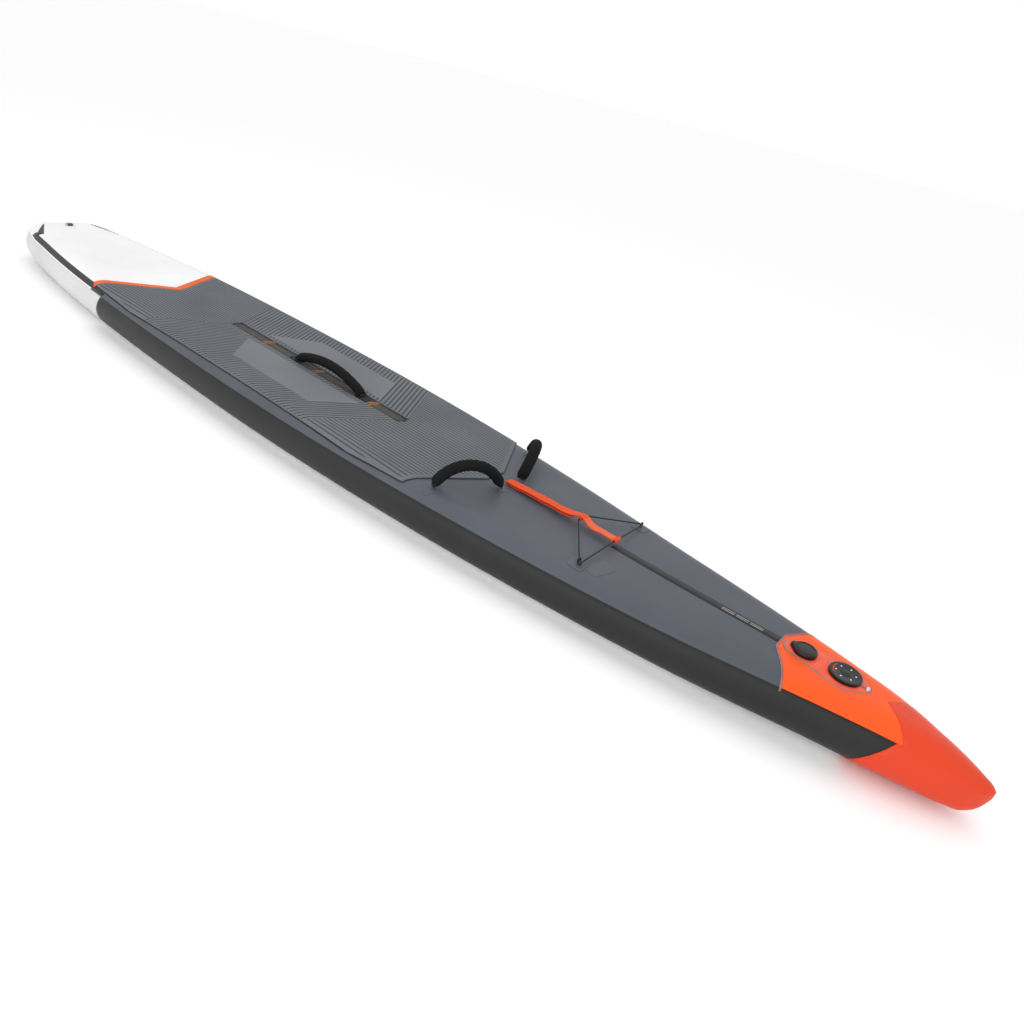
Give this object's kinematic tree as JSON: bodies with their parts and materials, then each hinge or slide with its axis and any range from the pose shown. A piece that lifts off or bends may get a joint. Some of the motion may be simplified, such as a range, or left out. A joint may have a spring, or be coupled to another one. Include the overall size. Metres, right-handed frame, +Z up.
{
  "type": "inflatable paddleboard",
  "caption": "Long narrow inflatable race paddleboard with ribbed foam pad, three carry handles, cargo strap with bungee, raised valve plate, moulded nose cap and leash ring",
  "frame": {"origin": "under the middle of the board, on its flat bottom", "axes": "+X towards the nose, +Y to port, +Z up"},
  "size_m": [4.27, 0.66, 0.2485],
  "materials": {
    "drop_stitch": "air-filled drop-stitch fabric",
    "deck_grey": "coated fabric, satin slate grey",
    "tail_white": "coated fabric, satin white",
    "nose_orange": "coated fabric, satin orange",
    "bottom_white": "coated fabric, satin white",
    "rail_dark": "coated fabric, satin charcoal",
    "cap_red": "moulded soft PVC, satin",
    "pad_foam": "closed-cell foam, ribbed",
    "trim_orange": "closed-cell foam",
    "woven_strip": "woven mesh strip",
    "thread_orange": "stitched thread",
    "black_webbing": "woven webbing",
    "neoprene": "fabric-faced neoprene",
    "orange_webbing": "woven webbing",
    "bungee_black": "braided elastic cord",
    "plate_coral": "moulded PVC",
    "edge_grey": "moulded PVC edge",
    "black_plastic": "moulded nylon",
    "black_gloss": "moulded nylon, semi-gloss",
    "seal_rubber": "seal rubber",
    "spring_steel": "stainless spring wire",
    "tag_clear": "soft plastic tag",
    "tail_webbing": "woven webbing",
    "ring_steel": "stainless wire",
    "fin_box_plastic": "moulded nylon"
  },
  "bodies": {
    "board": {"drop_stitch_core": "drop_stitch", "deck_panel": "deck_grey", "tail_deck_panel": "tail_white", "nose_deck_patch": "nose_orange", "bottom_panel": "bottom_white", "port_rail_band": "rail_dark", "starboard_rail_band": "rail_dark", "tail_rail_wrap": "tail_white", "port_accent_tape": "rail_dark", "starboard_accent_tape": "rail_dark", "nose_cap": "cap_red", "traction_pad": "pad_foam", "pad_trim_strip": "trim_orange", "pad_centre_strip": "woven_strip", "strip_stitches": "thread_orange", "centre_stripe_tape": "rail_dark", "centre_handle_anchors": "black_webbing", "front_handle_anchors": "deck_grey", "strap_patch": "deck_grey", "deck_strap": "orange_webbing", "bungee_cord": "bungee_black", "bungee_anchor_patches": "deck_grey", "bungee_anchor_loops": "black_webbing", "bungee_knot": "bungee_black", "valve_plate": "plate_coral", "valve_plate_edge": "edge_grey", "front_valve_body": "black_plastic", "front_valve_gasket": "seal_rubber", "front_valve_nut": "black_plastic", "front_valve_spring": "spring_steel", "cap_tether": "tag_clear", "tether_tag": "tag_clear", "rear_valve_body": "black_plastic", "rear_valve_gasket": "seal_rubber", "rear_valve_nut": "black_plastic", "rear_valve_spring": "spring_steel", "leash_patch": "tail_white", "leash_loop": "tail_webbing", "fin_box": "fin_box_plastic"},
    "centre_handle": {"centre_handle_webbing": "black_webbing", "centre_handle_grip": "neoprene"},
    "port_handle": {"port_handle_webbing": "black_webbing", "port_handle_grip": "neoprene"},
    "starboard_handle": {"starboard_handle_webbing": "black_webbing", "starboard_handle_grip": "neoprene"},
    "front_cap_ring": {"front_cap_ring": "black_plastic"},
    "front_cap": {"front_valve_cap": "black_gloss", "front_cap_gasket": "seal_rubber"},
    "front_plunger": {"front_valve_plunger": "black_plastic", "front_valve_seal": "seal_rubber"},
    "rear_cap": {"rear_valve_cap": "black_gloss"},
    "rear_plunger": {"rear_valve_plunger": "black_plastic", "rear_valve_seal": "seal_rubber"},
    "leash_ring": {"leash_ring": "ring_steel"}
  },
  "joints": [
    {"name": "centre_handle_hinge", "type": "hinge", "parent": "board", "child": "centre_handle", "pos_m": [-0.125, 0, 0.1642], "axis": [1, 0, 0], "range_deg": [-50, 50], "stiffness_Nm_per_rad": 0.05},
    {"name": "port_handle_hinge", "type": "hinge", "parent": "board", "child": "port_handle", "pos_m": [0.671, 0.139, 0.1626], "axis": [0.5, -0.866, 0], "range_deg": [-50, 50], "stiffness_Nm_per_rad": 0.05},
    {"name": "starboard_handle_hinge", "type": "hinge", "parent": "board", "child": "starboard_handle", "pos_m": [0.671, -0.139, 0.1626], "axis": [0.5, 0.866, 0], "range_deg": [-50, 50], "stiffness_Nm_per_rad": 0.05},
    {"name": "front_ring_turn", "type": "hinge", "parent": "board", "child": "front_cap_ring", "pos_m": [1.765, 0, 0.172], "axis": [0, 0, 1], "range_deg": [0, 90]},
    {"name": "front_cap_lift", "type": "slide", "parent": "front_cap_ring", "child": "front_cap", "axis": [0, 0, 1], "range_m": [0, 0.04]},
    {"name": "front_valve_push", "type": "slide", "parent": "board", "child": "front_plunger", "axis": [0, 0, -1], "range_m": [0, 0.008], "stiffness_N_per_m": 100, "springref_m": -0.004, "deforming": ["front_valve_spring"]},
    {"name": "rear_cap_hinge", "type": "hinge", "parent": "board", "child": "rear_cap", "pos_m": [1.695, 0, 0.1684], "axis": [0, 1, 0], "range_deg": [0, 95]},
    {"name": "rear_valve_push", "type": "slide", "parent": "board", "child": "rear_plunger", "axis": [0, 0, -1], "range_m": [0, 0.006], "stiffness_N_per_m": 100, "springref_m": -0.004, "deforming": ["rear_valve_spring"]},
    {"name": "leash_ring_hinge", "type": "hinge", "parent": "board", "child": "leash_ring", "pos_m": [-2.023, 0, 0.166], "axis": [0, 1, 0], "range_deg": [-3, 183]}
  ]
}
